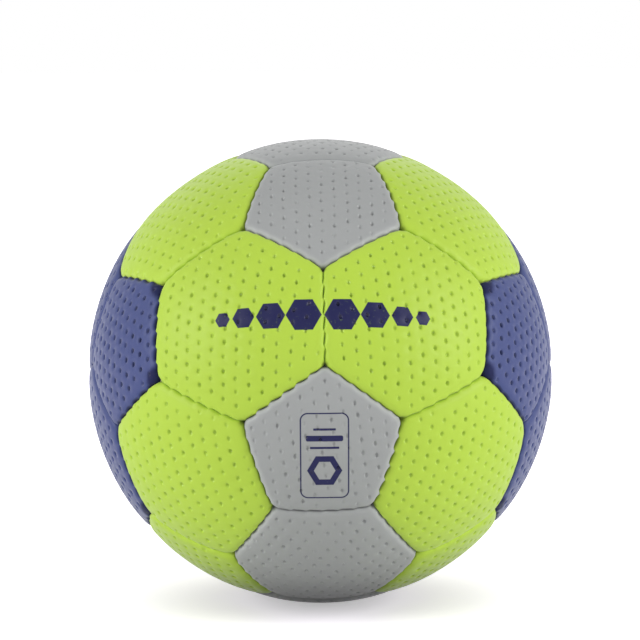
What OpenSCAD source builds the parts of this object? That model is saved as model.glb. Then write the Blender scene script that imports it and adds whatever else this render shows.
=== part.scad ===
// Hand-stitched handball of 32 panels. All lengths are in mm.
// The centre of the ball is the origin. +Z runs up through the middle of a hexagon, and the
// ball rests on the hexagon opposite. -Y is the front, and X is level and crosses a seam.

/* [Ball] */
// outside diameter of the inflated ball
ball_diameter = 150; // [140:1:190]
// thickness of the cover skin
skin_thickness = 1; // [0.8:0.1:1.4]
// thickness of the foam under the skin
foam_thickness = 1.2; // [0.8:0.1:1.8]
// thickness of the cloth lining under the foam
lining_thickness = 0.8; // [0.5:0.1:1]
// film of glue between two layers of a panel
glue_line = 0.05; // [0.03:0.01:0.1]

/* [Seams] */
// space between two panels where they meet
seam_gap = 0.1; // [0.06:0.02:0.3]
// depth of the groove along a seam
seam_depth = 2.2; // [1.6:0.1:2.4]
// distance from a seam at which a panel starts to roll down
roll_width = 5; // [4:0.25:6]
// depth of the pit where three panels meet
corner_depth = 3.2; // [2.6:0.1:3.4]
// how far a hem reaches inwards past the lining
hem_reach = 2.3; // [2.1:0.1:3]

/* [Stitching] */
// stitches along each seam
stitches_per_seam = 5; // [3:1:5]
// distance between two stitches
stitch_pitch = 4.6; // [4:0.1:4.7]
// diameter of the thread that crosses a seam
thread_diameter = 0.8; // [0.6:0.05:0.8]
// height of the doubled thread that lies flat along a hem
rail_height = 1.1; // [1:0.05:1.2]
// thickness of that doubled thread
rail_thickness = 0.7; // [0.6:0.05:0.8]
// play of the thread in its hole and beside the hem
thread_play = 0.1; // [0.05:0.05:0.15]

/* [Bladder] */
// wall of the rubber bladder
bladder_wall = 1.2; // [0.8:0.1:2]
// space between the hems and the bladder
bladder_play = 0.1; // [0.05:0.05:0.3]

/* [Valve] */
// diameter of the valve hole in the cover skin
valve_hole_diameter = 7.2; // [7:0.1:8]
// diameter of the flange that is bonded to the bladder
flange_diameter = 26; // [20:1:32]
// thickness of that flange
flange_thickness = 1.4; // [1:0.1:1.6]
// diameter of the valve housing
housing_diameter = 11.5; // [10:0.5:13]
// length of the valve housing, from the top of the cover
housing_length = 18; // [16:1:24]
// diameter of the rubber core in the housing
core_diameter = 5; // [4.6:0.1:5.4]
// play between the core and the housing
core_play = 0.05; // [0.03:0.01:0.1]
// diameter of the bore for the pump needle
needle_bore_diameter = 2.2; // [2:0.1:2.6]

/* [Hidden] */
$fn = 128;
ball_radius = ball_diameter / 2;
golden = (1 + sqrt(5)) / 2;

// Angles at the centre of the ball. The edge angle runs from the middle of a panel to the middle
// of one of its seams, and the corner angle to the point where three panels meet.
hexagon_edge = atan(1 / pow(golden, 2));
pentagon_edge = acos(pow(golden, 2) / sqrt(3 * (1 + pow(golden, 2)))) - hexagon_edge;
function edge_angle(sides) = sides == 6 ? hexagon_edge : pentagon_edge;
function corner_angle(sides) = atan(tan(edge_angle(sides)) / cos(180 / sides));

// how far the net is tipped about X, which brings a hexagon to the top
net_tilt = -hexagon_edge;

// middles of the panels before the net is tipped, in the order of their numbers
grey_pentagons = [for (y = [-1, 1], z = [1, -1]) [0, y * golden, z]];
blue_pentagons = [for (y = [-1, 1], x = [-1, 1]) [x * golden, y, 0]];
green_pentagons = [for (z = [1, -1], x = [-1, 1]) [x, 0, z * golden]];
grey_hexagons = [for (y = [-1, 1], z = [1, -1]) [0, y / golden, z * golden]];
blue_hexagons = [for (z = [1, -1], x = [-1, 1]) [x * golden, 0, z / golden]];
waist_hexagons = [for (y = [-1, 1], x = [-1, 1]) [x / golden, y * golden, 0]];
cube_hexagons = [for (y = [-1, 1], z = [1, -1], x = [-1, 1]) [x, y, z]];
green_hexagons = concat(waist_hexagons, cube_hexagons);
pentagons = concat(grey_pentagons, blue_pentagons, green_pentagons);
hexagons = concat(grey_hexagons, blue_hexagons, green_hexagons);
valve_spot = grey_hexagons[2];

// depths of the layers of a panel, measured from the top of the cover
foam_top = skin_thickness + glue_line;
lining_top = foam_top + foam_thickness + glue_line;
panel_thickness = lining_top + lining_thickness;
hem_end_radius = ball_radius - panel_thickness - hem_reach;

// A panel rolls down towards a seam in two slopes. Each is a sphere whose centre lies behind the
// panel: it starts at a distance from the seam and has sunk by a drop when it reaches it.
first_drop = 1.1;
second_start = 2.6;
corner_start = 4.5;

// the steep slope fades out in the deeper layers, which have only the first three kinds of cut
function slopes_at(inset) = inset < foam_top + 0.5 ? 4 : 3;

// the doubled thread lies flat against both hems of a seam, clear of the fold of the lining
stitch_radius = ball_radius - panel_thickness - rail_height / 2 - 0.6;
rail_offset = seam_gap / 2 + panel_thickness + thread_play;
stitch_angle = stitch_pitch / stitch_radius * 180 / PI;
stitch_angles = [for (k = [1:stitches_per_seam]) (k - (stitches_per_seam + 1) / 2) * stitch_angle];
rail_half_angle = stitch_angles[stitches_per_seam - 1] + thread_diameter / stitch_radius * 180 / PI;

// the bladder and the heights of the valve along its axis
bladder_radius = hem_end_radius - bladder_play;
housing_radius = housing_diameter / 2;
housing_hole = housing_diameter + 0.5;
housing_top = ball_radius - skin_thickness - 0.4;
neck_radius = valve_hole_diameter / 2 - 0.2;
neck_top = ball_radius - 0.5;
core_top = ball_radius - 0.6;
housing_bottom = ball_radius - housing_length;
core_bottom = housing_bottom + 0.6;
core_radius = core_diameter / 2;
bore_radius = needle_bore_diameter / 2;
bead_height = ball_radius - 8;

cover_green = [0.66, 0.82, 0.25];
cover_grey = [0.62, 0.64, 0.64];
cover_blue = [0.33, 0.36, 0.57];

function unit(v) = v / norm(v);

// the neighbour towards which edge 0 of a panel points, which for both kinds is a hexagon or a
// pentagon at the smallest angle
function nearest(v, places) =
    let (reach = [for (p = places) unit(p) * unit(v)], best = max(reach))
    [for (k = [0:len(places) - 1]) if (reach[k] > best - 0.001) places[k]][0];

// moves its children from +Z to the direction v, with their +X turned towards w
module aim(v, w) {
    z = unit(v);
    x = unit(unit(w) - (unit(w) * z) * z);
    y = cross(z, x);
    rotate([net_tilt, 0, 0])
        multmatrix([
            [x[0], y[0], z[0], 0],
            [x[1], y[1], z[1], 0],
            [x[2], y[2], z[2], 0],
            [0, 0, 0, 1]
        ])
            children();
}

module at_hexagon(v) {
    aim(v, nearest(v, pentagons)) children();
}

module at_pentagon(v) {
    aim(v, nearest(v, hexagons)) children();
}

// turns its children so that +Z is the middle of edge k and +X points across the seam
module at_edge(sides, k) {
    rotate([0, 0, k * 360 / sides])
        rotate([0, edge_angle(sides), 0])
            children();
}

module at_corner(sides, k) {
    rotate([0, 0, (k + 0.5) * 360 / sides])
        rotate([0, corner_angle(sides), 0])
            children();
}

// a sphere with its poles to the front and the back, clear of the panel at +Z
module ball(r) {
    rotate([90, 0, 0]) sphere(r);
}

// ball that cuts a slope: it leaves the cover at start and is lower by drop at X = 0
module slope_ball(start, drop, inset) {
    low = ball_radius - drop;
    back = (pow(ball_radius, 2) - pow(low, 2)) / (2 * start);
    translate([-back, 0, 0]) ball(sqrt(pow(low, 2) + pow(back, 2)) - inset);
}

// everything on the panel's side of a seam
module seam_face(inset) {
    size = 3 * ball_radius;
    translate([-size - seam_gap / 2 - inset, -size / 2, -size / 2]) cube(size);
}

module panel_blank(inset) {
    intersection() {
        ball(ball_radius - inset);
        translate([0, 0, 0.6 * ball_radius]) cylinder(h = ball_radius, r = ball_radius / 2);
    }
}

module panel_cut(sides, inset, stage, k) {
    if (stage == 0) at_edge(sides, k) seam_face(inset);
    if (stage == 1) at_corner(sides, k) slope_ball(corner_start, corner_depth, inset);
    if (stage == 2) at_edge(sides, k) slope_ball(roll_width, first_drop, inset);
    if (stage == 3) at_edge(sides, k) slope_ball(second_start, seam_depth, inset);
}

// A panel's outline, drawn in by inset on all sides. The blank is cut at one seam or corner after
// another: first the faces between two panels, then the corner pits, then the slopes.
module panel_form(sides, inset, cuts) {
    if (cuts == 0) {
        panel_blank(inset);
    } else {
        intersection() {
            panel_form(sides, inset, cuts - 1);
            panel_cut(sides, inset, floor((cuts - 1) / sides), (cuts - 1) % sides);
        }
    }
}

module stitch_holes(sides) {
    for (k = [0:sides - 1]) {
        at_edge(sides, k)
            for (a = stitch_angles)
                rotate([a, 0, 0])
                    translate([-panel_thickness - 1, 0, stitch_radius])
                        rotate([0, 90, 0])
                            cylinder(h = panel_thickness + 1.5, d = thread_diameter + 2 * thread_play);
    }
}

// one layer of a panel between two depths: a shallow cup whose turned-in wall is the hem
module panel_layer(sides, top, bottom, hole = 0) {
    difference() {
        panel_form(sides, top, slopes_at(top) * sides);
        panel_form(sides, bottom, slopes_at(bottom) * sides);
        ball(hem_end_radius);
        stitch_holes(sides);
        if (hole > 0) cylinder(h = ball_radius + 1, d = hole);
    }
}

module skin(sides, hole = 0) {
    panel_layer(sides, 0, skin_thickness, hole);
}

module foam(sides, hole = 0) {
    panel_layer(sides, foam_top, foam_top + foam_thickness, hole);
}

module lining(sides, hole = 0) {
    panel_layer(sides, lining_top, panel_thickness, hole);
}

// section of the doubled thread: flat on the hem, with its outer edges rounded off
module rail_section() {
    half = rail_height / 2;
    edge = rail_thickness * 0.4;
    polygon([
        [stitch_radius - half, rail_offset],
        [stitch_radius + half, rail_offset],
        [stitch_radius + half, rail_offset + rail_thickness - edge],
        [stitch_radius + half - edge, rail_offset + rail_thickness],
        [stitch_radius - half + edge, rail_offset + rail_thickness],
        [stitch_radius - half, rail_offset + rail_thickness - edge]
    ]);
}

// thread of one seam: a doubled run along both hems and the stitches that join them
module seam_thread() {
    reach = rail_offset + rail_thickness / 2;
    for (side = [0, 1]) {
        rotate([0, 0, side * 180])
            rotate([0, -90, 0])
                rotate([0, 0, -rail_half_angle])
                    rotate_extrude(angle = 2 * rail_half_angle) rail_section();
    }
    for (a = stitch_angles) {
        rotate([a, 0, 0])
            translate([-reach, 0, stitch_radius])
                rotate([0, 90, 0])
                    cylinder(h = 2 * reach, d = thread_diameter);
    }
}

module green_hexagon(k) {
    color(cover_green) at_hexagon(green_hexagons[k - 1]) skin(6);
}

module green_pentagon(k) {
    color(cover_green) at_pentagon(green_pentagons[k - 1]) skin(5);
}

module grey_hexagon(k) {
    plain = [for (h = grey_hexagons) if (h != valve_spot) h];
    color(cover_grey) at_hexagon(plain[k - 1]) skin(6);
}

module grey_pentagon(k) {
    color(cover_grey) at_pentagon(grey_pentagons[k - 1]) skin(5);
}

module blue_hexagon(k) {
    color(cover_blue) at_hexagon(blue_hexagons[k - 1]) skin(6);
}

module blue_pentagon(k) {
    color(cover_blue) at_pentagon(blue_pentagons[k - 1]) skin(5);
}

module valve_panel() {
    color(cover_grey) at_hexagon(valve_spot) skin(6, valve_hole_diameter);
}

module hexagon_foam(places) {
    color([0.95, 0.93, 0.84])
        for (h = places)
            at_hexagon(h) foam(6, h == valve_spot ? housing_hole : 0);
}

module hexagon_lining(places) {
    color([0.9, 0.9, 0.9])
        for (h = places)
            at_hexagon(h) lining(6, h == valve_spot ? housing_hole : 0);
}

module green_hexagon_foam() {
    hexagon_foam(green_hexagons);
}

module grey_hexagon_foam() {
    hexagon_foam(grey_hexagons);
}

module blue_hexagon_foam() {
    hexagon_foam(blue_hexagons);
}

module pentagon_foam() {
    color([0.95, 0.93, 0.84])
        for (p = pentagons)
            at_pentagon(p) foam(5);
}

module green_hexagon_lining() {
    hexagon_lining(green_hexagons);
}

module grey_hexagon_lining() {
    hexagon_lining(grey_hexagons);
}

module blue_hexagon_lining() {
    hexagon_lining(blue_hexagons);
}

module pentagon_lining() {
    color([0.9, 0.9, 0.9])
        for (p = pentagons)
            at_pentagon(p) lining(5);
}

// the 30 seams between two hexagons
module hexagon_seam_thread() {
    color([0.93, 0.93, 0.9])
        for (i = [0:18], j = [i + 1:19]) {
            a = unit(hexagons[i]);
            b = unit(hexagons[j]);
            if (a * b > 0.7) aim(a + b, b - a) seam_thread();
        }
}

// the 60 seams round the pentagons
module pentagon_seam_thread() {
    color([0.93, 0.93, 0.9])
        for (p = pentagons, k = [0:4])
            at_pentagon(p) at_edge(5, k) seam_thread();
}

module bladder() {
    color([0.12, 0.12, 0.12])
        difference() {
            sphere(bladder_radius);
            sphere(bladder_radius - bladder_wall);
            at_hexagon(valve_spot) cylinder(h = ball_radius, d = housing_diameter + 2 * core_play);
        }
}

// outline of the core from its middle to its side, with a bead that locks it in the housing
function core_outline(play) = [
    [0, core_bottom - play],
    [core_radius - 0.8 + play, core_bottom - play],
    [core_radius + play, core_bottom + 2],
    [core_radius + play, bead_height - 1.2],
    [core_radius + 0.6 + play, bead_height - 0.5],
    [core_radius + 0.6 + play, bead_height + 0.5],
    [core_radius + play, bead_height + 1.2],
    [core_radius + play, core_top + 20 * play],
    [0, core_top + 20 * play]
];

module valve_housing() {
    color([0.16, 0.16, 0.17])
        at_hexagon(valve_spot)
            difference() {
                union() {
                    intersection() {
                        difference() {
                            sphere(bladder_radius + glue_line + flange_thickness);
                            sphere(bladder_radius + glue_line);
                        }
                        cylinder(h = ball_radius, d = flange_diameter);
                    }
                    translate([0, 0, housing_bottom])
                        cylinder(h = housing_top - housing_bottom, r = housing_radius);
                    translate([0, 0, housing_bottom + 1])
                        cylinder(h = neck_top - housing_bottom - 1, r = neck_radius);
                }
                rotate_extrude() polygon(core_outline(core_play));
                translate([0, 0, housing_bottom - 1])
                    cylinder(h = 3, r = bore_radius + 0.2);
            }
}

module valve_core() {
    color([0.22, 0.22, 0.23])
        at_hexagon(valve_spot)
            difference() {
                rotate_extrude() polygon(core_outline(0));
                translate([0, 0, core_bottom - 1])
                    cylinder(h = housing_length + 2, r = bore_radius);
            }
}

green_hexagon(1);  // green_hexagon_1
green_hexagon(2);  // green_hexagon_2
green_hexagon(3);  // green_hexagon_3
green_hexagon(4);  // green_hexagon_4
green_hexagon(5);  // green_hexagon_5
green_hexagon(6);  // green_hexagon_6
green_hexagon(7);  // green_hexagon_7
green_hexagon(8);  // green_hexagon_8
green_hexagon(9);  // green_hexagon_9
green_hexagon(10);  // green_hexagon_10
green_hexagon(11);  // green_hexagon_11
green_hexagon(12);  // green_hexagon_12
green_pentagon(1);  // green_pentagon_1
green_pentagon(2);  // green_pentagon_2
green_pentagon(3);  // green_pentagon_3
green_pentagon(4);  // green_pentagon_4
grey_hexagon(1);  // grey_hexagon_1
grey_hexagon(2);  // grey_hexagon_2
grey_hexagon(3);  // grey_hexagon_3
grey_pentagon(1);  // grey_pentagon_1
grey_pentagon(2);  // grey_pentagon_2
grey_pentagon(3);  // grey_pentagon_3
grey_pentagon(4);  // grey_pentagon_4
blue_hexagon(1);  // blue_hexagon_1
blue_hexagon(2);  // blue_hexagon_2
blue_hexagon(3);  // blue_hexagon_3
blue_hexagon(4);  // blue_hexagon_4
blue_pentagon(1);  // blue_pentagon_1
blue_pentagon(2);  // blue_pentagon_2
blue_pentagon(3);  // blue_pentagon_3
blue_pentagon(4);  // blue_pentagon_4
valve_panel();
green_hexagon_foam();
grey_hexagon_foam();
blue_hexagon_foam();
pentagon_foam();
green_hexagon_lining();
grey_hexagon_lining();
blue_hexagon_lining();
pentagon_lining();
hexagon_seam_thread();
pentagon_seam_thread();
bladder();
valve_housing();
valve_core();
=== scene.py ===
import math
import random

import bpy
import numpy as np
from mathutils import Matrix, Vector
from mathutils.geometry import delaunay_2d_cdt


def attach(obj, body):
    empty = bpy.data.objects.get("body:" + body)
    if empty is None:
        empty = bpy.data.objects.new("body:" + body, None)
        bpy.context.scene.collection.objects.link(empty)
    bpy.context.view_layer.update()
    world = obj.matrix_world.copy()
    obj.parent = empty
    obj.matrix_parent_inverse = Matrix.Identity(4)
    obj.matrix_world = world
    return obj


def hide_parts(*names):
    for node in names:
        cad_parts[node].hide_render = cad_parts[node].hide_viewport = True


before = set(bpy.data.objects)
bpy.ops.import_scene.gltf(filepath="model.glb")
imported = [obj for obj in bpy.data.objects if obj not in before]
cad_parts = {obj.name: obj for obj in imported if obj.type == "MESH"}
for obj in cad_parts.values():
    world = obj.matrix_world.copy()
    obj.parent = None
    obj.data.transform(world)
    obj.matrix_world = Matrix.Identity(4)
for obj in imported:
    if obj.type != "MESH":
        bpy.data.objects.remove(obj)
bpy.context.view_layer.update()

print("frame loaded,", len(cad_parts), "nodes")

# The patterns are worked out in millimetres and become metres in the meshes.
toMetres = 0.001
goldenRatio = (1 + math.sqrt(5)) / 2

ball = {
    "radius": 75.0,  # out to the crown of the panels
    "tip": -math.atan(1 / goldenRatio ** 2),  # turns the net so that a grey hexagon is on top
}


# Small helpers for objects, colours and node trees.
def addObject(name, data):
    made = bpy.data.objects.new(name, data)
    bpy.context.scene.collection.objects.link(made)
    return made


def fromSrgb(red, green, blue):
    def channel(value):
        value /= 255
        return value / 12.92 if value <= 0.04045 else ((value + 0.055) / 1.055) ** 2.4
    return (channel(red), channel(green), channel(blue), 1.0)


def tinted(colour, factor, lift=0.0):
    return tuple(min(1.0, c * factor + lift) for c in colour[:3]) + (1.0,)


def emptyTree(owner):
    owner.use_nodes = True
    owner.node_tree.nodes.clear()
    return owner.node_tree


def feed(tree, socket, value):
    if isinstance(value, bpy.types.NodeSocket):
        tree.links.new(value, socket)
    else:
        socket.default_value = value


def put(tree, kind, sockets=None, **settings):
    node = tree.nodes.new(kind)
    for name, value in settings.items():
        setattr(node, name, value)
    for name, value in (sockets or {}).items():
        feed(tree, node.inputs[name], value)
    return node


def maths(tree, operation, *values, clamp=False):
    node = put(tree, "ShaderNodeMath", dict(enumerate(values)), operation=operation, use_clamp=clamp)
    return node.outputs[0]


def times(tree, first, second):
    return maths(tree, "MULTIPLY", first, second)


def plus(tree, first, second):
    return maths(tree, "ADD", first, second)


def minus(tree, first, second):
    return maths(tree, "SUBTRACT", first, second)


def mapped(tree, value, low, high, toLow, toHigh, shape="LINEAR"):
    sockets = {0: value, 1: low, 2: high, 3: toLow, 4: toHigh}
    return put(tree, "ShaderNodeMapRange", sockets, interpolation_type=shape).outputs[0]


def blendColour(tree, amount, first, second, how="MIX"):
    node = put(tree, "ShaderNodeMix", data_type="RGBA", blend_type=how)
    for socket, value in ((0, amount), (6, first), (7, second)):
        feed(tree, node.inputs[socket], value)
    return node.outputs[2]


def markOf(tree, name):
    return put(tree, "ShaderNodeAttribute", attribute_name=name).outputs["Fac"]


def noise(tree, place, scale, detail):
    return put(tree, "ShaderNodeTexNoise", {"Vector": place, "Scale": scale, "Detail": detail}).outputs[0]


# The net of the ball: where the panels lie and where their corners are.
def unit(v):
    v = np.asarray(v, float)
    return v / np.linalg.norm(v, axis=-1, keepdims=True)


def tipped(v):
    x, y, z = v
    c, s = math.cos(ball["tip"]), math.sin(ball["tip"])
    return unit((x, y * c - z * s, y * s + z * c))


def panelPlaces():
    g = goldenRatio
    sides = (-1, 1)
    heights = (1, -1)
    greyPentagons = [(0, y * g, z) for y in sides for z in heights]
    bluePentagons = [(x * g, y, 0) for y in sides for x in sides]
    greenPentagons = [(x, 0, z * g) for z in heights for x in sides]
    greyHexagons = [(0, y / g, z * g) for y in sides for z in heights]
    blueHexagons = [(x * g, 0, z / g) for z in heights for x in sides]
    greenHexagons = [(x / g, y * g, 0) for y in sides for x in sides]
    greenHexagons += [(x, y, z) for y in sides for z in heights for x in sides]
    valvePlace = greyHexagons.pop(2)  # at the back
    rows = (
        ("green_hexagon_%d", greenHexagons, 6, "green"),
        ("green_pentagon_%d", greenPentagons, 5, "green"),
        ("grey_hexagon_%d", greyHexagons, 6, "grey"),
        ("grey_pentagon_%d", greyPentagons, 5, "grey"),
        ("blue_hexagon_%d", blueHexagons, 6, "blue"),
        ("blue_pentagon_%d", bluePentagons, 5, "blue"),
    )
    places = [{"node": name % (k + 1), "centre": tipped(c), "sides": count, "colour": colour}
              for name, spots, count, colour in rows for k, c in enumerate(spots)]
    places.append({"node": "valve_panel", "centre": tipped(valvePlace), "sides": 6, "colour": "grey"})
    return places


def netCorners():
    pentagons = [tipped(p) for a in (-1, 1) for b in (-1, 1)
                 for p in ((0, a * goldenRatio, b), (a * goldenRatio, b, 0), (b, 0, a * goldenRatio))]
    near = 1 / math.sqrt(5)  # cosine between two neighbours
    return [unit(2 * p + q) for p in pentagons for q in pentagons if abs(p @ q - near) < 1e-6]


# Hand sewing pulls some corners off their even places. Each entry has the even place as seen from the
# front, then the way that the corner went along the ball, to the right and up, all in millimetres.
handSewing = {
    "seed": 11,
    "jitter": 0.35,  # anywhere else
    "sameCorner": 2.0,  # a corner this near an even place is the one that is meant
    "behind": 0.05,  # from here back no corner is in the list
    "front": (
        ((0, 40), (0.2, -0.1)), ((0, 12), (0.4, -0.1)), ((-24, 51), (0.1, 0.4)),
        ((24, 51), (0.5, 0.0)), ((-49, 34), (-1.1, 0.1)), ((49, 34), (1.4, -0.2)),
        ((-49, 5), (-2.6, -0.4)), ((49, 5), (1.2, 0.5)), ((-24, -5), (-0.5, -0.6)),
        ((24, -5), (-0.5, 0.0)), ((-15, -34), (-0.8, 0.0)), ((15, -34), (0.0, 0.6)),
        ((-15, 69), (-1.3, 0.7)), ((15, 69), (3.0, 1.3)), ((-30, -51), (1.2, -1.1)),
        ((30, -51), (0.5, -2.0)), ((-64, 34), (-1.4, 0.1)), ((64, 34), (2.0, 0.1)),
        ((-64, -12), (-2.4, -0.8)), ((64, -12), (0.6, -0.9)), ((-55, -40), (-1.8, -1.0)),
        ((55, -40), (2.2, -0.6)), ((-30, 69), (0.0, 2.5)), ((30, 69), (0.0, 1.8)),
        ((-55, 51), (-3.0, -1.0)), ((55, 51), (3.0, -1.0)),
    ),
}


def sewnCorners(even):
    chance = random.Random(handSewing["seed"])
    moved = []
    for corner in even:
        pull = [chance.uniform(-1, 1) * handSewing["jitter"] for axis in range(2)]
        for place, known in handSewing["front"]:
            away = math.hypot(*(corner[[0, 2]] * ball["radius"] - place))
            if corner[1] < handSewing["behind"] and away < handSewing["sameCorner"]:
                pull = known
        north = unit(np.array((0, 0, 1.0)) - corner * corner[2])
        east = np.cross(north, corner)
        moved.append(unit(corner * ball["radius"] + east * pull[0] + north * pull[1]))
    return moved


places = panelPlaces()
corners = netCorners()
sewn = sewnCorners(corners)


def panelAxes(centre):
    # z out of the ball, y as far up as it can be, or to the front on a panel at the top or bottom
    up = np.array((0, -1.0, 0)) if abs(centre[2]) > 0.98 else np.array((0, 0, 1.0))
    y = unit(up - centre * (up @ centre))
    return np.array((np.cross(y, centre), y, centre))


def addOutline(place):
    axes = panelAxes(place["centre"])
    reach = 0.93 if place["sides"] == 5 else 0.90  # cosine, just past the panel's corners
    found = [(k, axes @ c) for k, c in enumerate(corners) if c @ place["centre"] > reach]
    found.sort(key=lambda item: math.atan2(item[1][1], item[1][0]))
    place["axes"] = axes
    ids = [k for k, c in found]
    place["corners"] = np.array([axes @ sewn[k] for k, c in found])
    following = np.roll(place["corners"], -1, axis=0)
    place["normals"] = unit(np.cross(place["corners"], following))  # of the seams, into the panel
    place["seams"] = [tuple(sorted(ends)) for ends in zip(ids, ids[1:] + ids[:1])]


seamColours = {}
for place in places:
    addOutline(place)
    for seam in place["seams"]:
        seamColours.setdefault(seam, []).append(place["colour"])
for place in places:
    place["beside"] = []
    for seam in place["seams"]:
        other = list(seamColours[seam])
        other.remove(place["colour"])
        place["beside"].append(other[0])
print("net laid out,", len(places), "panels and", len(corners), "corners")


# One cut panel as a flat pattern, with marks for the tree that shapes it.
pattern = {
    "seamPoints": 72,  # mesh points along one seam
    "cornerPoints": 6,
    "cornerRounding": 2.6,
    "hemRounding": 0.6,
    "roundingGrowth": 0.6,  # and how much a corner's rounding grows with each millimetre inwards
    "rows": (0.03, 0.12, 0.24, 0.4, 0.62, 0.95, 1.4),  # from the seam inwards
    "lastRow": 2.05,  # left away where a dimple lies
    "lastRowEvery": 3,  # only every third point of it
    "hemContact": 0.012,  # the hems press on each other below the seam
    "hemRows": ((0.06, 0.30), (1.0, 0.0)),  # how far down, and how much further at a corner
    "hemCornerReach": 1.3,
    "hemThickness": 1.0,
    "hemBack": (1.0, 0.5, 0.0),  # rows up the inner side of the hem
    "reach": 36.0,  # no panel goes further from its middle
    "fillStep": 1.5,
    "fillRow": 0.87,  # rows of the triangle grid, against its step
    "fillGap": 0.7,  # free of points inside the last row
    "dimpleGap": 1.6,  # and round the middle of a dimple
    "liningStep": 5.0,  # the underside's grid, and how far it stays from the seams
    "liningGap": 4.0,
    "seamBlend": 4.0,  # how softly two seams' distances meet in a corner
    "mapSize": 80.0,  # of the sheet that the UV map shows
}

stitching = {
    "count": 5,
    "pitch": 4.9,
    "strength": (0.45, 0.75),  # the least, and what chance adds at most
    "lean": 0.26,  # how far a stitch pushes the seam sideways
    "spring": 1.2,  # length of seam in which it comes back
    "waveEnd": 2.2,  # length in which the last wave dies away
    # how far the first colour swells over the second
    "scallop": {"green blue": 0.24, "green grey": 0.12, "grey blue": 0.1},
    "opening": 0.10,  # half the gap between two stitches
    "fade": 2.6,  # how far in from the seam the lean dies away
    "pullLength": 0.7,
    "pullReach": 1.2,
    "liftsHem": 0.9,  # how much a stitch closes the gap between the hems
    "clearsShade": 0.8,  # and how much of the shade it takes away
}

dimpling = {
    "pitch": 4.35,  # in a column
    "columnStep": 4.0,
    "start": 2.0,  # the first dimple is this near the middle
    "wide": 0.74,  # half widths of a dimple
    "tall": 1.0,
    "bowl": 1.2,  # 1 has a sharp rim, more a soft one
    "jitter": 0.2,
    "fromSeam": 1.6,
    "fromCorner": 2.8,
    "besideSeam": 0.55,  # share of the depth that is left beside a seam
    "deepFrom": 2.5,  # and how much further in a dimple has all of it
    "edgeFade": 0.6,  # the rows nearest to the seam have less of it
    "rings": ((1.15, 12), (0.92, 12), (0.68, 12), (0.38, 8)),  # how far out, and how many mesh points
    "ringsFrom": 1.8,  # nearer to the seam the rows of the edge carry the dimple
    "depth": {"green": 1.08, "grey": 0.95, "blue": 1.75},
    # the least and the most of it
    "uneven": {"green": (0.75, 1.2), "grey": (0.4, 1.2), "blue": (0.7, 1.2)},
}

# for the panels that the photograph shows: column direction in degrees, first dimple, pitch, column step,
# and how wide the dimples are against the others
dimpleRows = {
    "green_hexagon_1": (92, 1.6, -0.7, 4.27, 4.2, 1.0),
    "green_hexagon_2": (88, -1.6, -0.7, 4.3, 4.15, 1.0),
    "green_hexagon_5": (-3, 0.6, -0.6, 4.55, 4.15, 0.95),
    "green_hexagon_6": (0, -1.6, -2.1, 4.45, 3.8, 0.95),
    "green_hexagon_7": (93, 3.1, -0.1, 4.4, 4.27, 1.0),
    "green_hexagon_8": (88, -0.1, -1.8, 4.5, 4.05, 1.0),
    "grey_pentagon_1": (90, 0.1, -1.3, 4.02, 3.87, 0.95),
    "grey_pentagon_2": (98, -4.9, 0.8, 3.9, 4.0, 0.9),
    "blue_pentagon_1": (-13, 0.8, 5.4, 4.1, 4.0, 1.1),
    "blue_pentagon_2": (132, -3.0, 1.3, 4.1, 3.8, 1.1),
}

valve = {
    "panel": "valve_panel",
    "hole": 3.6,
    "ring": 5.6,  # a groove pressed round the hole
    "rows": (  # round which of the two, how far outside it, mesh points, and how deep it is pressed there
        ("hole", 0.0, 40, 0.9), ("hole", 0.3, 40, 0.3), ("hole", 0.8, 40, 0.0), ("ring", -0.45, 44, 0.0),
        ("ring", 0.0, 44, 0.9), ("ring", 0.45, 44, 0.0), ("ring", 1.4, 30, 0.0),
    ),
    "dimplesFrom": 3.0,  # outside the groove
    "fillFrom": 2.0,
    "liningFrom": 2.5,  # outside the hole
}

# painted shade, with some dirt, in the seams of one colour beside another: strength and reach in mm, and
# for the corners also the length over which it fades
seamShade = {
    "plain": (0.45, 0.4),
    "green green": (0.05, 0.4),
    "blue green": (0.95, 0.9),
    "blue blue": (0.15, 0.4),
    "corner": (0.8, 1.2, 0.9),
    "blue green corner": (0.95, 5.0, 1.5),
}
seamShadeFall = 0.6  # below 1 the shade holds on, then ends quickly
# painted shade deep between the pressed hems
hemShade = {"green green": 0.15}  # two green hems light each other, all others are fully dark

# painted highlight: the rolled fold of a grey cover is painted paler beside a green one
foldHighlightSettings = {"pair": "grey green", "reach": 1.7, "fade": 0.8}


def circle(radius, count):
    turns = [2 * math.pi * n / count for n in range(count)]
    return [(radius * math.cos(turn), radius * math.sin(turn)) for turn in turns]


def seamDistances(panel, points):
    return ball["radius"] * np.arcsin(np.clip(points @ panel["normals"].T, -1, 1))


def softDistance(panel, points):
    each = np.maximum(seamDistances(panel, points), 0.02)  # never zero
    power = pattern["seamBlend"]
    return (each ** -power).sum(axis=1) ** (-1 / power)


def cornerDistance(panel, points):
    return ball["radius"] * np.arccos(np.clip((points @ panel["corners"].T).max(axis=1), -1, 1))


def colourPair(panel, k):
    return panel["colour"] + " " + panel["beside"][k]


def seamStrength(panel, k):
    # both panels on a seam get the same number, since its two corners make it
    least, spread = stitching["strength"]
    first, second = panel["seams"][k]
    return least + spread * random.Random(first * 97 + second).random()


def scallopOf(panel, k):
    own, other = panel["colour"], panel["beside"][k]
    swelling = stitching["scallop"]
    return swelling.get(own + " " + other, 0.0) - swelling.get(other + " " + own, 0.0)


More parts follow.
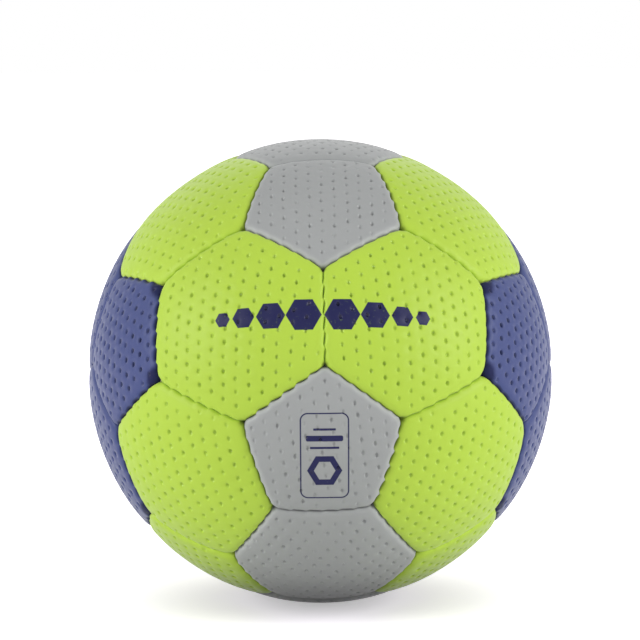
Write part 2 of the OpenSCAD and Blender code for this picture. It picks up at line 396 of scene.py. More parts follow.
def shadeOf(panel, points):
    shade = np.zeros(len(points))
    away = ball["radius"] * np.arccos(np.clip(points @ panel["corners"].T, -1, 1))
    for k, distance in enumerate(seamDistances(panel, points).T):
        strength, reach = seamShade.get(colourPair(panel, k), seamShade["plain"])
        shade = np.maximum(shade, strength * np.clip(1 - distance / reach, 0, 1) ** seamShadeFall)
        deep = colourPair(panel, k) == colourPair(panel, k - 1) == "blue green"
        strength, reach, fade = seamShade["blue green corner" if deep else "corner"]
        shade = np.maximum(shade, strength * np.clip((reach - away[:, k]) / fade, 0, 1))
    return shade


# painted highlight along the seams of a grey cover beside a green one
def paintedFoldHighlight(panel, points):
    pale = np.zeros(len(points))
    for k, distance in enumerate(seamDistances(panel, points).T):
        if colourPair(panel, k) == foldHighlightSettings["pair"]:
            pale = np.maximum(pale, np.clip((foldHighlightSettings["reach"] - distance) / foldHighlightSettings["fade"], 0, 1))
    return pale


def stitchWave(along):
    # from -1 just after a stitch to 1 just before the next, and 0 at the stitch
    part = np.mod(along / stitching["pitch"], 1.0)
    spring = stitching["spring"] / stitching["pitch"] / 2
    wave = (2 * part - 1) / (1 - 2 * spring)
    wave = np.where(part < spring, -part / spring, wave)
    wave = np.where(part > 1 - spring, (1 - part) / spring, wave)
    reach = (stitching["count"] // 2 + 0.5) * stitching["pitch"]
    fade = np.clip((reach + stitching["waveEnd"] - np.abs(along)) / stitching["waveEnd"], 0, 1)
    return wave * fade, np.sin(math.pi * part) ** 2 * fade


def borderRing(panel, inset, pressed=False):
    # a ring along all seams: its points, the same without stitches, and how hard a stitch pulls at each
    sides, radius = panel["sides"], ball["radius"]
    normals = panel["normals"]
    angle = inset / radius
    insetCorners = []
    for k in range(sides):
        before, after = normals[k - 1], normals[k]
        lean = math.sin(angle) / (1 + before @ after)
        side = unit(np.cross(before, after))
        side = side if side @ panel["corners"][k] > 0 else -side
        rest = math.sqrt(1 - lean * lean * (2 + 2 * (before @ after)))
        insetCorners.append(lean * (before + after) + rest * side)
    fade = max(0.0, 1 - inset / stitching["fade"])
    opening = 0.0 if pressed else stitching["opening"] * fade
    rounding = pattern["hemRounding" if pressed else "cornerRounding"] + pattern["roundingGrowth"] * inset
    rows = []
    for k in range(sides):
        a, b = panel["corners"][k], panel["corners"][(k + 1) % sides]
        middle, run = unit(a + b), unit(b - a)
        start, end = insetCorners[k], insetCorners[(k + 1) % sides]
        turn = math.acos(np.clip(normals[k - 1] @ normals[k], -1, 1))
        trim = rounding * math.tan(turn / 2) / radius
        first = math.atan2(start @ run, start @ middle) + trim
        last = math.atan2(end @ run, end @ middle) - trim
        sweep = np.linspace(first, last, pattern["seamPoints"])
        along = sweep * radius
        wave, gap = stitchWave(along)
        strength = seamStrength(panel, k)
        swell = scallopOf(panel, k) * fade - opening * strength
        out = stitching["lean"] * strength * wave * fade + swell * gap
        line = np.outer(np.cos(sweep), middle) + np.outer(np.sin(sweep), run)
        plain = math.cos(angle) * line + math.sin(angle) * normals[k]
        turned = (inset - out) / radius
        points = np.cos(turned)[:, None] * line + np.sin(turned)[:, None] * normals[k]
        pull = np.zeros(len(sweep))
        for j in range(stitching["count"]):
            spot = (j - (stitching["count"] - 1) / 2) * stitching["pitch"]
            pull += strength * np.exp(-((along - spot) / stitching["pullLength"]) ** 2)
        pull *= 1.0 if pressed else math.exp(-(inset / stitching["pullReach"]) ** 2)
        rows.append((points, plain, pull))
    ring = []
    for k in range(sides):
        # a rounded corner leads over to the next seam
        following = (k + 1) % sides
        first, last = rows[k][0][-1], rows[following][0][0]
        weight = math.cos(math.acos(np.clip(normals[k] @ normals[following], -1, 1)) / 2)
        t = np.arange(1, pattern["cornerPoints"] + 1)[:, None] / (pattern["cornerPoints"] + 1)
        tip = insetCorners[following]
        arc = unit((1 - t) ** 2 * first + 2 * weight * t * (1 - t) * tip + t ** 2 * last)
        ring += [rows[k], (arc, arc, np.zeros(len(arc)))]
    points, unmoved, pulls = zip(*ring)
    return np.vstack(points), np.vstack(unmoved), np.concatenate(pulls)


def toFlat(points):
    return ball["radius"] * points[:, :2] / points[:, 2:3]


def toSphere(flat):
    flat = np.asarray(flat, float).reshape(-1, 2)
    return unit(np.column_stack((flat, np.full(len(flat), ball["radius"]))))


def fromArc(x, y):
    # a point laid off along the ball's surface from the panel's middle
    far = math.hypot(x, y)
    if far < 1e-9:
        return 0.0, 0.0
    scale = ball["radius"] * math.tan(far / ball["radius"]) / far
    return x * scale, y * scale


def dimpleSpots(panel):
    # place and depth of each dimple, and how wide they are
    chance = random.Random(panel["node"])
    colour = panel["colour"]
    firstCorner = math.degrees(math.atan2(panel["corners"][0][1], panel["corners"][0][0]))
    start = dimpling["start"]
    anyRows = (firstCorner, chance.uniform(-start, start), chance.uniform(-start, start),
               dimpling["pitch"], dimpling["columnStep"], 1.0)
    heading, startX, startY, pitch, columnStep, width = dimpleRows.get(panel["node"], anyRows)
    heading = math.radians(heading)
    column = np.array((math.cos(heading), math.sin(heading)))
    across = np.array((column[1], -column[0]))
    spots = []
    for i in range(-9, 10):  # more than a panel holds, both ways
        for j in range(-9, 10):
            spot = np.array((startX, startY)) + across * i * columnStep
            spot = spot + column * (j + 0.5 * (i % 2)) * pitch
            spot = spot + np.array([chance.uniform(-1, 1), chance.uniform(-1, 1)]) * dimpling["jitter"]
            flat = fromArc(*spot)
            if math.hypot(*flat) > pattern["reach"]:
                continue
            point = toSphere(flat)
            seam = softDistance(panel, point)[0]
            if seam < dimpling["fromSeam"] or cornerDistance(panel, point)[0] < dimpling["fromCorner"]:
                continue
            if panel["node"] == valve["panel"] and math.hypot(*flat) < valve["ring"] + valve["dimplesFrom"]:
                continue
            further = min(1.0, (seam - dimpling["fromSeam"]) / dimpling["deepFrom"])
            depth = dimpling["besideSeam"] + (1 - dimpling["besideSeam"]) * further
            depth *= dimpling["depth"][colour] * chance.uniform(*dimpling["uneven"][colour])
            spots.append((*flat, depth))
    return spots, width


def dimpleDepth(spots, width, flat):
    depth = np.zeros(len(flat))
    for x, y, deepest in spots:
        across, up = (flat[:, 0] - x) / (dimpling["wide"] * width), (flat[:, 1] - y) / dimpling["tall"]
        depth = np.maximum(depth, deepest * np.clip(1 - (across ** 2 + up ** 2), 0, 1) ** dimpling["bowl"])
    return depth


def dimplePoints(panel, spot, width):
    # mesh points in the middle of a dimple and in rings round it
    x, y, depth = spot
    around = [(x, y)]
    for far, count in dimpling["rings"]:
        around += [(x + across * dimpling["wide"] * width * far, y + up * dimpling["tall"] * far)
                   for across, up in circle(1, count)]
    around = np.array(around)
    around = around[softDistance(panel, toSphere(around)) > dimpling["ringsFrom"]]
    return around, dimpleDepth([spot], width, around)


def plainPoints(panel, spots):
    # mesh points between the dimples: a triangle grid, first made wider than the panel, and the last row
    step = pattern["fillStep"]
    grid = np.array([(i * step, (j + 0.5 * (i % 2)) * step * pattern["fillRow"])
                     for i in range(-28, 29) for j in range(-32, 33)])
    grid = grid[np.hypot(grid[:, 0], grid[:, 1]) < pattern["reach"]]
    free = seamDistances(panel, toSphere(grid)).min(axis=1) > pattern["lastRow"] + pattern["fillGap"]
    lastRow = toFlat(borderRing(panel, pattern["lastRow"])[0])[::pattern["lastRowEvery"]]
    points = np.vstack((grid[free], lastRow))
    gaps = [np.hypot(points[:, 0] - x, points[:, 1] - y) for x, y, depth in spots]
    free = np.min(gaps, axis=0) > pattern["dimpleGap"]
    if panel["node"] == valve["panel"]:
        free &= np.hypot(points[:, 0], points[:, 1]) > valve["ring"] + valve["fillFrom"]
    return points[free]


markNames = ("seamDistance", "cornerDistance", "stitchPull", "dimple", "hem", "inside", "shade", "paintedFoldHighlight")


def flatPattern(panel):
    # points, their marks in the order of the names above, and faces
    flats, marks, faces = [], [], []
    hasHole = panel["node"] == valve["panel"]
    spots, width = dimpleSpots(panel)
    pressedShade = [hemShade.get(colourPair(panel, k), 1.0) for k in range(panel["sides"])]
    pressedShade = np.repeat(pressedShade, pattern["seamPoints"] + pattern["cornerPoints"])

    def pointCount():
        return sum(len(f) for f in flats)

    def addPoints(flat, *values):
        # each mark is one value for all of the points, or a value for each
        first = pointCount()
        columns = [np.broadcast_to(np.asarray(v, float), (len(flat),)) for v in values]
        flats.append(np.asarray(flat, float))
        marks.append(np.column_stack(columns))
        return np.arange(first, pointCount())

    def band(lower, upper):
        # a closed strip between two rings, facing left of the way round
        nextLower, nextUpper = np.roll(lower, -1), np.roll(upper, -1)
        faces.extend(zip(lower.tolist(), nextLower.tolist(), nextUpper.tolist(), upper.tolist()))

    def ringOf(inset, hem=0.0, inside=0.0, pressed=False, cornerHem=0.0):
        points, unmoved, pull = borderRing(panel, inset, pressed)
        flat = toFlat(points)
        # the row's own distance near the seam, passing over to the one that is soft in the corners
        share = min(1.0, inset / pattern["rows"][-1]) ** 2
        seam = inset * (1 - share) + softDistance(panel, unmoved) * share
        corner = cornerDistance(panel, unmoved)
        held = np.clip(pull, 0, 1)
        hem = hem + cornerHem * np.exp(-(corner / pattern["hemCornerReach"]) ** 2)
        if pressed and cornerHem:
            hem = hem * (1 - stitching["liftsHem"] * held)
        shade = pressedShade if pressed else shadeOf(panel, unmoved)
        shade = shade * (1 - stitching["clearsShade"] * held)
        dimple = 0.0
        if not pressed and not inside:
            dimple = dimpleDepth(spots, width, flat) * min(1.0, inset / dimpling["edgeFade"])
        pale = paintedFoldHighlight(panel, unmoved)
        return addPoints(flat, seam, corner, pull, dimple, hem, inside, shade, pale), flat

    def fillInside(ids, flat, extra, extraMarks):
        # triangles inside a ring, through the extra points, and none over the valve's hole
        outline = [list(range(len(flat)))]
        every = [Vector(p) for p in flat] + [Vector(p) for p in extra]
        outPoints, _, outFaces, source = delaunay_2d_cdt(every, [], outline, 1, 1e-5)[:4]
        ids = np.concatenate((ids, addPoints(extra, *extraMarks)))
        hole = valve["hole"] * 0.99 if hasHole else 0.0  # just inside its round row
        triangles = []
        for face in outFaces:
            middle = sum((outPoints[v] for v in face), Vector((0, 0))) / 3
            if middle.length >= hole:
                triangles.append(tuple(int(ids[source[v][0]]) for v in face))
        return triangles

    # the top, from the seam inwards
    rings = [ringOf(inset) for inset in pattern["rows"]]
    for (outer, _), (inner, _) in zip(rings, rings[1:]):
        band(outer, inner)
    extra, dimple = [], []
    if hasHole:
        for edge, further, count, depth in valve["rows"]:
            extra.append(circle(valve[edge] + further, count))
            dimple.append([depth] * count)
    for spot in spots:
        around, depth = dimplePoints(panel, spot, width)
        extra.append(around)
        dimple.append(depth)
    extra.append(plainPoints(panel, spots))
    dimple.append(np.zeros(len(extra[-1])))
    extra, dimple = np.vstack(extra), np.concatenate(dimple)
    sphere = toSphere(extra)
    topMarks = (softDistance(panel, sphere), cornerDistance(panel, sphere), 0.0, dimple, 0.0, 0.0,
                shadeOf(panel, sphere), paintedFoldHighlight(panel, sphere))
    firstExtra = pointCount()
    faces.extend(fillInside(*rings[-1], extra, topMarks))

    # the edge turned in as a hem, down the outside and up again inside
    previous = rings[0][0]
    for share, cornerShare in pattern["hemRows"]:
        ids, _ = ringOf(pattern["hemContact"], hem=share, pressed=True, cornerHem=cornerShare)
        band(ids, previous)
        previous = ids
    for share in pattern["hemBack"]:
        ids, flat = ringOf(pattern["rows"][0] + pattern["hemThickness"], hem=share, inside=1.0)
        band(ids, previous)
        previous = ids

    # the underside, facing the middle of the ball
    step = pattern["liningStep"]
    inner = [(i * step, j * step) for i in range(-7, 8) for j in range(-7, 8)]
    inner = [p for p in inner if seamDistances(panel, toSphere(p)).min() > pattern["liningGap"]]
    holePoints = valve["rows"][0][2]
    if hasHole:
        inner = [p for p in inner if math.hypot(*p) > valve["hole"] + valve["liningFrom"]]
        inner += circle(valve["hole"], holePoints)
    sphere = toSphere(inner)
    under = (softDistance(panel, sphere), cornerDistance(panel, sphere), 0.0, 0.0, 0.0, 1.0, 0.0, 0.0)
    for a, b, c in fillInside(previous, flat, np.array(inner), under):
        faces.append((a, c, b))
    if hasHole:
        # the wall of the hole
        upper = np.arange(firstExtra, firstExtra + holePoints)
        band(upper, np.arange(pointCount() - holePoints, pointCount()))
    return np.vstack(flats), np.vstack(marks), faces


def patternMesh(panel):
    flat, marks, faces = flatPattern(panel)
    mesh = bpy.data.meshes.new("cut_" + panel["node"])
    mesh.from_pydata([(x * toMetres, y * toMetres, 0.0) for x, y in flat.tolist()], [], faces)
    for name, values in zip(markNames, marks.T):
        layer = mesh.attributes.new(name, "FLOAT", "POINT")
        lengths = values * (toMetres if name in ("seamDistance", "cornerDistance") else 1.0)
        layer.data.foreach_set("value", lengths.astype(np.float32))
    uv = mesh.uv_layers.new(name="cutPattern")
    corner = np.zeros(len(mesh.loops), np.int32)
    mesh.loops.foreach_get("vertex_index", corner)
    uv.data.foreach_set("uv", (flat[corner] / pattern["mapSize"] + 0.5).ravel().astype(np.float32))
    return mesh


# The tree that bends a flat pattern over the ball and sinks its seams, stitches and dimples, in metres.
panelShape = {
    "Ball radius": ball["radius"] * toMetres,
    "Crown rise": 0.0002,
    "Crown depth": 0.0004,
    "Crown width": 0.012,
    "Roll depth": 0.0007,
    "Roll width": 0.0023,
    "Edge depth": 0.0006,
    "Edge width": 0.0002,
    "Stitch hold": 0.85,  # share of the edge that a stitch takes out
    "Stitch bridge": 0.55,  # and of the roll
    "Stitch depth": 0.0001,
    "Corner depth": 0.0003,
    "Corner width": 0.003,
    "Pit depth": 0.0006,
    "Pit width": 0.0011,
    "Dimple depth": 0.0006,
    "Skin thickness": 0.001,
    "Hem radius": 0.0696,
}


def panelShapeTree():
    tree = bpy.data.node_groups.new("panelShape", "GeometryNodeTree")
    tree.interface.new_socket("Geometry", in_out="OUTPUT", socket_type="NodeSocketGeometry")
    tree.interface.new_socket("Geometry", in_out="INPUT", socket_type="NodeSocketGeometry")
    for name, value in panelShape.items():
        socket = tree.interface.new_socket(name, in_out="INPUT", socket_type="NodeSocketFloat")
        socket.default_value = value
    tree.interface.new_socket("Material", in_out="INPUT", socket_type="NodeSocketMaterial")
    given = put(tree, "NodeGroupInput").outputs
    mark = {}
    for name in markNames:
        reader = put(tree, "GeometryNodeInputNamedAttribute", {"Name": name}, data_type="FLOAT")
        mark[name] = reader.outputs[0]
    # the crown rolls down towards the seam, less so where a stitch bridges it
    bridged = maths(tree, "MULTIPLY", mark["stitchPull"], given["Stitch bridge"], clamp=True)
    drop = 0.0
    for size in ("Crown", "Roll"):
        share = maths(tree, "DIVIDE", mark["seamDistance"], given[size + " width"])
        share = maths(tree, "SUBTRACT", 1.0, share, clamp=True)
        fallen = times(tree, times(tree, share, share), given[size + " depth"])
        if size == "Roll":
            fallen = times(tree, fallen, minus(tree, 1.0, bridged))
        drop = plus(tree, drop, fallen)
    # its last edge turns in sharply, and a stitch holds the two lips level
    fall = maths(tree, "DIVIDE", mark["seamDistance"], given["Edge width"])
    edge = times(tree, maths(tree, "EXPONENT", times(tree, fall, -1.0)), given["Edge depth"])
    held = maths(tree, "MULTIPLY", mark["stitchPull"], given["Stitch hold"], clamp=True)
    drop = plus(tree, drop, times(tree, edge, minus(tree, 1.0, held)))
    for size in ("Corner", "Pit"):
        near = maths(tree, "DIVIDE", mark["cornerDistance"], given[size + " width"])
        bell = maths(tree, "EXPONENT", times(tree, times(tree, near, near), -1.0))
        drop = plus(tree, drop, times(tree, bell, given[size + " depth"]))
    drop = plus(tree, drop, times(tree, mark["stitchPull"], given["Stitch depth"]))
    drop = plus(tree, drop, times(tree, mark["dimple"], given["Dimple depth"]))
    # from the surface in through the skin, and down the hem
    reach = minus(tree, plus(tree, given["Ball radius"], given["Crown rise"]), drop)
    reach = minus(tree, reach, times(tree, mark["inside"], given["Skin thickness"]))
    reach = plus(tree, reach, times(tree, mark["hem"], minus(tree, given["Hem radius"], reach)))
    lift = put(tree, "ShaderNodeCombineXYZ", {"Z": given["Ball radius"]}).outputs[0]
    flat = put(tree, "GeometryNodeInputPosition").outputs[0]
    outwards = put(tree, "ShaderNodeVectorMath", {0: flat, 1: lift}, operation="ADD").outputs[0]
    outwards = put(tree, "ShaderNodeVectorMath", {0: outwards}, operation="NORMALIZE").outputs[0]
    place = put(tree, "ShaderNodeVectorMath", {0: outwards, "Scale": reach}, operation="SCALE").outputs[0]
    bent = {"Geometry": given["Geometry"], "Position": place}
    shape = put(tree, "GeometryNodeSetPosition", bent).outputs[0]
    shape = put(tree, "GeometryNodeSetShadeSmooth", {"Geometry": shape}).outputs[0]
    shape = put(tree, "GeometryNodeRealizeInstances", {"Geometry": shape}).outputs[0]
    dressed = {"Geometry": shape, "Material": given["Material"]}
    shape = put(tree, "GeometryNodeSetMaterial", dressed).outputs[0]
    put(tree, "NodeGroupOutput", {"Geometry": shape})
    return tree


shapeTree = panelShapeTree()
shapeSockets = {item.name: item.identifier for item in shapeTree.interface.items_tree
                if item.item_type == "SOCKET" and item.in_out == "INPUT"}


def bendPanel(panel, material):
    mesh = patternMesh(panel)
    draft = addObject("draft", mesh)
    modifier = draft.modifiers.new("panelShape", "NODES")
    modifier.node_group = shapeTree
    for name, value in panelShape.items():
        modifier[shapeSockets[name]] = value
    modifier[shapeSockets["Material"]] = material
    bpy.context.view_layer.update()
    evaluated = draft.evaluated_get(bpy.context.evaluated_depsgraph_get())
    finished = bpy.data.meshes.new_from_object(evaluated)
    bpy.data.objects.remove(draft)
    bpy.data.meshes.remove(mesh)
    finished.transform(Matrix([[*panel["axes"][:, row], 0] for row in range(3)] + [[0, 0, 0, 1]]))
    finished.name = "panel_" + panel["node"]
    return addObject(finished.name, finished)


# Cover materials.
# each cover's seam colour is painted shade, with some dirt, in the seams and corners
covers = {
    "green": {"colour": fromSrgb(181, 212, 68), "dirtAndShade": (0.16, 0.18, 0.12, 1.0), "roughness": (0.44, 0.56),
              "swell": 0.0003, "dimpleShade": 0.3, "paintedFoldHighlight": 0.0, "sheen": 0.2},
    "grey": {"colour": fromSrgb(161, 163, 163), "dirtAndShade": (0.16, 0.16, 0.18, 1.0), "roughness": (0.44, 0.56),
             "swell": 0.0006, "dimpleShade": 0.1, "paintedFoldHighlight": 0.5, "sheen": 0.08},
    "blue": {"colour": fromSrgb(56, 68, 122), "dirtAndShade": (0.10, 0.12, 0.28, 1.0), "roughness": (0.40, 0.52),
             "swell": 0.0004, "dimpleShade": 0.55, "paintedFoldHighlight": 0.0, "sheen": 0.2},
}

# the same on all covers; a noise has its scale and detail
foil = {
    "specular": 0.28,
    "sheenRoughness": 0.4,
    "broadNoise": (60.0, 3.0),
    "fineNoise": (900.0, 4.0),
    "swellNoise": (170.0, 2.0),
    "darker": (0.25, 0.80),  # how much of a darker tint the broad noise brings in, and the tint
    "paler": (0.15, 0.94, 0.045),  # the same for the fine noise and a paler one
    # painted highlight on the grey fold
    "foldHighlightTint": (1.25, 0.03),
    # painted shade in the middle of the dimples
    "dimpleShadeTint": (0.35, 0.35, 0.35, 1.0),
    "grainScale": 1500.0,
    "grainHeight": (0.6, 0.4),  # of the grain and of the fine noise
    "grainBump": (0.35, 0.00008),  # strength and distance
    "swellBump": 0.4,
    "roughBetween": (0.3, 0.7),  # of the fine noise
    "dirtAndShadeRough": 0.35,
    "pressedSmooth": (0.6, 0.5),  # down to what depth a dimple gets smoother, and how fast
}

ink = {
    "colour": fromSrgb(10, 13, 66),
    "edge": 0.00016,
    "thinBetween": (0.62, 0.80),  # of the fine noise
    "thinnest": 0.85,
}

# half of the row of hexagon dots: how far from the seam in metres, and half the width of each
printedDots = ((0.0058, 0.0047), (0.0158, 0.0039), (0.0243, 0.0030), (0.0310, 0.0021))

badge = {  # in metres, seen from the front
    "centre": (0.0001, -0.0158),
    "half": (0.0072, 0.0133),
    "rounding": 0.0022,
    "line": 0.00042,
    "ring": (0.0045, 0.0046, 0.0009),  # how far down, half its width, and half its line
    "rules": ((0.0084, 0.0034, 0.00035), (0.0056, 0.0056, 0.0009), (0.0027, 0.0044, 0.00035)),
    "ruleRounding": 0.6,  # against half the line
}


def hexagonField(tree, x, y, size):
    # below zero inside a hexagon that stands on a flat side, with the sides that slope by 30 degrees
    across, up = maths(tree, "ABSOLUTE", x), maths(tree, "ABSOLUTE", y)
    slant = plus(tree, times(tree, across, 0.866), times(tree, up, 0.5))
    return minus(tree, maths(tree, "MAXIMUM", slant, up), size)


def boxField(tree, x, y, halfX, halfY, rounding):
    # below zero inside a box with round corners
    across = maths(tree, "MAXIMUM", minus(tree, maths(tree, "ABSOLUTE", x), halfX - rounding), 0.0)
    up = maths(tree, "MAXIMUM", minus(tree, maths(tree, "ABSOLUTE", y), halfY - rounding), 0.0)
    far = maths(tree, "SQRT", plus(tree, times(tree, across, across), times(tree, up, up)))
    return minus(tree, far, rounding)


def filled(tree, field):
    return maths(tree, "SUBTRACT", 0.5, maths(tree, "DIVIDE", field, ink["edge"]), clamp=True)


def outlined(tree, field, halfLine):
    return filled(tree, minus(tree, maths(tree, "ABSOLUTE", field), halfLine))


def dotRow(tree, place):
    # the row follows the ball's own waist, which is tipped back with the net
    tippedBack = {"Vector": place, "Angle": -ball["tip"]}
    tippedBack = put(tree, "ShaderNodeVectorRotate", tippedBack, rotation_type="X_AXIS").outputs[0]
    x, y, height = put(tree, "ShaderNodeSeparateXYZ", {0: tippedBack}).outputs
    angle = maths(tree, "ARCTAN2", maths(tree, "ABSOLUTE", x), times(tree, y, -1.0))
    along = times(tree, angle, ball["radius"] * toMetres)
    cover = None
    for far, size in printedDots:
        dot = filled(tree, hexagonField(tree, minus(tree, along, far), height, size))
        cover = dot if cover is None else maths(tree, "MAXIMUM", cover, dot)
    return cover


def badgePrint(tree, place):
    # a frame, and in it a hexagon ring under three rules
    parts = put(tree, "ShaderNodeSeparateXYZ", {0: place}).outputs
    x, z = minus(tree, parts[0], badge["centre"][0]), minus(tree, parts[2], badge["centre"][1])
    cover = outlined(tree, boxField(tree, x, z, *badge["half"], badge["rounding"]), badge["line"] / 2)
    down, size, thick = badge["ring"]
    ring = plus(tree, hexagonField(tree, x, plus(tree, z, down), size), thick)
    cover = maths(tree, "MAXIMUM", cover, outlined(tree, ring, thick))
    for up, half, thick in badge["rules"]:
        rule = boxField(tree, x, minus(tree, z, up), half, thick, thick * badge["ruleRounding"])
        cover = maths(tree, "MAXIMUM", cover, filled(tree, rule))
    return cover


def coverMaterial(name, look, printing=None):
    material = bpy.data.materials.new(name)
    tree = emptyTree(material)
    place = put(tree, "ShaderNodeTexCoord").outputs["Object"]
    dirtAndShade, dimple = markOf(tree, "shade"), markOf(tree, "dimple")
    broad, fine, swell = (noise(tree, place, *foil[kind])
                          for kind in ("broadNoise", "fineNoise", "swellNoise"))
    # colour: broad and fine unevenness, painted shade in the dimples, painted shade with some dirt in the
    # seams
    colour = look["colour"]
    strength, dark = foil["darker"]
    shade = blendColour(tree, times(tree, broad, strength), colour, tinted(colour, dark))
    strength, *pale = foil["paler"]
    shade = blendColour(tree, times(tree, fine, strength), shade, tinted(colour, *pale))
    if printing:
        thinned = mapped(tree, fine, *ink["thinBetween"], 1.0, ink["thinnest"])
        shade = blendColour(tree, times(tree, printing(tree, place), thinned), shade, ink["colour"])
    # painted highlight along the grey fold beside green
    if look["paintedFoldHighlight"]:
        highlightShare = times(tree, markOf(tree, "paintedFoldHighlight"), look["paintedFoldHighlight"])
        shade = blendColour(tree, highlightShare, shade, tinted(colour, *foil["foldHighlightTint"]))
    # painted shade in the middle of each dimple
    dimpleShadeAmount = maths(tree, "MULTIPLY", times(tree, dimple, dimple), look["dimpleShade"], clamp=True)
    shade = blendColour(tree, dimpleShadeAmount, shade, foil["dimpleShadeTint"], "MULTIPLY")
    # painted shade, with some dirt, in the seams and corners
    shade = blendColour(tree, dirtAndShade, shade, look["dirtAndShade"], "MULTIPLY")
    # surface: pressed grain, with a softer swell under it, and smoother in the dimples
    grain = {"Vector": place, "Scale": foil["grainScale"]}
    grain = put(tree, "ShaderNodeTexVoronoi", grain, feature="SMOOTH_F1").outputs[0]
    ofGrain, ofNoise = foil["grainHeight"]
    height = plus(tree, times(tree, grain, ofGrain), times(tree, fine, ofNoise))
    bump = {"Strength": foil["swellBump"], "Distance": look["swell"], "Height": swell}
    bump = put(tree, "ShaderNodeBump", bump).outputs[0]
    strength, distance = foil["grainBump"]
    bump = {"Strength": strength, "Distance": distance, "Height": height, "Normal": bump}
    bump = put(tree, "ShaderNodeBump", bump).outputs[0]
    rough = mapped(tree, fine, *foil["roughBetween"], *look["roughness"])
    rough = plus(tree, rough, times(tree, dirtAndShade, foil["dirtAndShadeRough"]))
    depth, strength = foil["pressedSmooth"]
    smoothed = times(tree, maths(tree, "MINIMUM", dimple, depth), strength)
    rough = maths(tree, "SUBTRACT", rough, smoothed, clamp=True)
    shader = put(tree, "ShaderNodeBsdfPrincipled", {
        "Base Color": shade, "Roughness": rough, "Normal": bump, "Specular IOR Level": foil["specular"],
        "Sheen Weight": look["sheen"], "Sheen Roughness": foil["sheenRoughness"]})
    put(tree, "ShaderNodeOutputMaterial", {"Surface": shader.outputs[0]})
    return material


coverMaterials = {colour: coverMaterial(colour + "Cover", look) for colour, look in covers.items()}
printedGreen = coverMaterial("greenCoverPrinted", covers["green"], dotRow)
printedGrey = coverMaterial("greyCoverPrinted", covers["grey"], badgePrint)
printedPanels = {
    "green_hexagon_1": printedGreen,
    "green_hexagon_2": printedGreen,
    "grey_pentagon_2": printedGrey,
}

triangles = 0
for panel in places:
    piece = bendPanel(panel, printedPanels.get(panel["node"], coverMaterials[panel["colour"]]))
    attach(piece, "root")
    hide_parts(panel["node"])
    triangles += sum(len(face.vertices) - 2 for face in piece.data.polygons)
print("panels sewn,", triangles, "triangles")


# Materials for what lies inside: name, colour, scale and depth of the texture, roughness, and its kind.
insideLooks = {
    "foam": ("closedFoam", fromSrgb(238, 233, 212), 1400.0, 0.0002, 0.9, "cells"),
    "lining": ("clothLining", fromSrgb(214, 210, 200), 420.0, 0.00015, 0.85, "weave"),
    "thread": ("waxedThread", fromSrgb(222, 224, 214), 500.0, 0.0001, 0.55, "twist"),
    "bladder": ("bladderRubber", fromSrgb(46, 44, 44), 300.0, 0.00008, 0.5, "plain"),
    "valve": ("valveRubber", fromSrgb(34, 34, 36), 700.0, 0.00005, 0.45, "plain"),
}
insideFinish = {"detail": 5.0, "distortion": 1.5, "dark": 0.7, "shading": 0.35, "bump": 0.6, "spread": 0.08}


def insideMaterial(name, colour, scale, depth, roughness, kind):
    material = bpy.data.materials.new(name)
    tree = emptyTree(material)
    place = put(tree, "ShaderNodeTexCoord").outputs["Object"]
    texture = {"Vector": place, "Scale": scale}
    uneven = noise(tree, place, scale, insideFinish["detail"])
    height = uneven
    if kind == "cells":
        height = put(tree, "ShaderNodeTexVoronoi", texture, feature="F1").outputs[0]
    if kind == "weave":
        warp, weft = (put(tree, "ShaderNodeTexWave", texture, bands_direction=way).outputs[1]
                      for way in "XZ")
        height = maths(tree, "MAXIMUM", warp, weft)
    if kind == "twist":
        texture["Distortion"] = insideFinish["distortion"]
        height = put(tree, "ShaderNodeTexWave", texture, bands_direction="DIAGONAL").outputs[1]
    dark = tinted(colour, insideFinish["dark"])
    shade = blendColour(tree, uneven, colour, dark)
    shade = blendColour(tree, times(tree, height, insideFinish["shading"]), shade, dark)
    bump = {"Strength": insideFinish["bump"], "Distance": depth, "Height": height}
    bump = put(tree, "ShaderNodeBump", bump).outputs[0]
    spread = insideFinish["spread"]
    rough = mapped(tree, uneven, 0.0, 1.0, roughness - spread, roughness + spread)
    surface = {"Base Color": shade, "Roughness": rough, "Normal": bump}
    shader = put(tree, "ShaderNodeBsdfPrincipled", surface)
    put(tree, "ShaderNodeOutputMaterial", {"Surface": shader.outputs[0]})
    return material


for part, look in insideLooks.items():
    material = insideMaterial(*look)
    for nodeName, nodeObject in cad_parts.items():
        if part in nodeName and nodeName != valve["panel"]:
            nodeObject.data.materials.clear()
            nodeObject.data.materials.append(material)
print("inner layers dressed")


# Floor, light and camera.
room = {
    "floorReach": 6.0,
    # painted shade: under the ball the floor throws nothing back, which darkens the ball's underside
    "shadedBounce": (0.0, 0.92),  # what the floor throws back, under the ball and further out
    "shadedBounceBetween": (0.053, 0.078),
    "floorSeen": (0.84, 0.79, 0.86, 1.0),  # what the eye gets; a little less green than white
    # painted shadow: the floor's glow is dimmer near the ball and brighter further out
    "glowNear": 0.415,
    "glowFar": 0.40,
    "shadeReach": (0.03, 0.082),  # the contact shadow lies inside this ring
    "shadeTail": 6,  # its last trace ends this many times further out
    "shadeShape": (0.93, 1.22, 0.0),  # and it is wider than it is deep
    "sky": 0.23,
}


def shownPale(tree):
    # 1 for the eye, for reflections and through glass: there the room is white
    path = put(tree, "ShaderNodeLightPath").outputs
    mirrored = maths(tree, "MAXIMUM", path["Is Glossy Ray"], path["Is Transmission Ray"])
    return maths(tree, "MAXIMUM", path["Is Camera Ray"], mirrored)


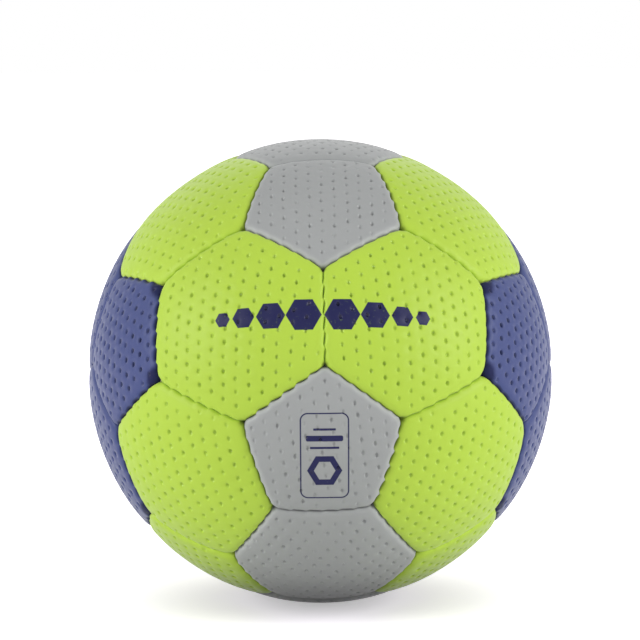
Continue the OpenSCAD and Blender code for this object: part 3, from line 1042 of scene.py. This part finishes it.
def floorMaterial():
    material = bpy.data.materials.new("paleFloor")
    tree = emptyTree(material)
    seen = shownPale(tree)
    place = put(tree, "ShaderNodeTexCoord").outputs["Object"]
    level = {0: place, 1: room["shadeShape"]}
    level = put(tree, "ShaderNodeVectorMath", level, operation="MULTIPLY").outputs[0]
    away = put(tree, "ShaderNodeVectorMath", {0: level}, operation="LENGTH").outputs["Value"]
    close, wide = room["shadeReach"]
    near, far = room["glowNear"], room["glowFar"]
    # painted shadow in the floor's glow, dimmer near the ball
    rise = mapped(tree, away, close, wide, near, near + far, "SMOOTHSTEP")
    more = mapped(tree, away, wide, wide * room["shadeTail"], 0.0, far)
    strength = times(tree, seen, plus(tree, rise, more))
    glow = put(tree, "ShaderNodeEmission", {"Color": (1, 1, 1, 1), "Strength": strength}).outputs[0]
    # painted shade: the floor throws back nothing under the ball
    shadedBounce = mapped(tree, away, *room["shadedBounceBetween"], *room["shadedBounce"])
    shadedBounce = put(tree, "ShaderNodeCombineColor", {0: shadedBounce, 1: shadedBounce, 2: shadedBounce}).outputs[0]
    shade = blendColour(tree, seen, shadedBounce, room["floorSeen"])
    matt = put(tree, "ShaderNodeBsdfDiffuse", {"Color": shade}).outputs[0]
    both = put(tree, "ShaderNodeAddShader", {0: glow, 1: matt}).outputs[0]
    put(tree, "ShaderNodeOutputMaterial", {"Surface": both})
    return material


def layFloor():
    reach, height = room["floorReach"], -ball["radius"] * toMetres - panelShape["Crown rise"]
    spots = [(x * reach, y * reach, height) for x, y in ((-1, -1), (1, -1), (1, 1), (-1, 1))]
    mesh = bpy.data.meshes.new("floor")
    mesh.from_pydata(spots, [], [(0, 1, 2, 3)])
    mesh.materials.append(floorMaterial())
    addObject("floor", mesh)


def lightSky():
    world = bpy.data.worlds.new("studio")
    bpy.context.scene.world = world
    tree = emptyTree(world)
    strength = mapped(tree, shownPale(tree), 0.0, 1.0, room["sky"], 1.0)
    sky = put(tree, "ShaderNodeBackground", {"Color": (1, 1, 1, 1), "Strength": strength}).outputs[0]
    put(tree, "ShaderNodeOutputWorld", {"Surface": sky})


layFloor()
lightSky()

# softboxes: where each stands, its width and height in metres, and its power
softboxes = {
    "left": ((-1.1, -0.45, 0.45), (0.55, 0.58), 9.5),
    "right": ((1.1, -0.45, 0.45), (0.55, 0.58), 10.2),
    "top": ((0.0, -0.15, 1.15), (0.9, 0.9), 1.15),
    "front": ((0.0, -1.25, 0.3), (1.0, 0.3), 1.35),
    "back": ((0.0, 1.3, 0.75), (1.4, 0.7), 2.4),
}
for name, (spot, (width, height), power) in softboxes.items():
    lamp = bpy.data.lights.new("softbox_" + name, "AREA")
    lamp.shape = "RECTANGLE"
    lamp.size, lamp.size_y = width, height
    lamp.energy = power
    holder = addObject(lamp.name, lamp)
    holder.location = spot
    holder.rotation_euler = Vector(spot).to_track_quat("Z", "Y").to_euler()

# camera, in metres, millimetres of lens and degrees
view = {
    "distance": 0.8965,
    "elevation": 7.84,
    "side": -0.76,
    "roll": -0.45,
    "lens": 155.0,
    "sensor": 36.0,
    "shiftSide": -0.0006,
    "shiftUp": 0.0795,
    "clip": (0.05, 50.0),
}
cameraData = bpy.data.cameras.new("camera")
cameraData.lens = view["lens"]
cameraData.sensor_width = view["sensor"]
cameraData.shift_x = view["shiftSide"]
cameraData.shift_y = view["shiftUp"]
cameraData.clip_start, cameraData.clip_end = view["clip"]
camera = addObject("camera", cameraData)
elevation, side = math.radians(view["elevation"]), math.radians(view["side"])
spot = Vector((math.cos(elevation) * math.sin(side), -math.cos(elevation) * math.cos(side),
               math.sin(elevation)))
facing = spot.to_track_quat("Z", "Y").to_matrix()
facing = facing @ Matrix.Rotation(math.radians(view["roll"]), 3, "Z")
camera.matrix_world = Matrix.Translation(spot * view["distance"]) @ facing.to_4x4()
bpy.context.scene.camera = camera
bpy.context.scene.view_settings.view_transform = "Standard"
print("floor, light and camera set")
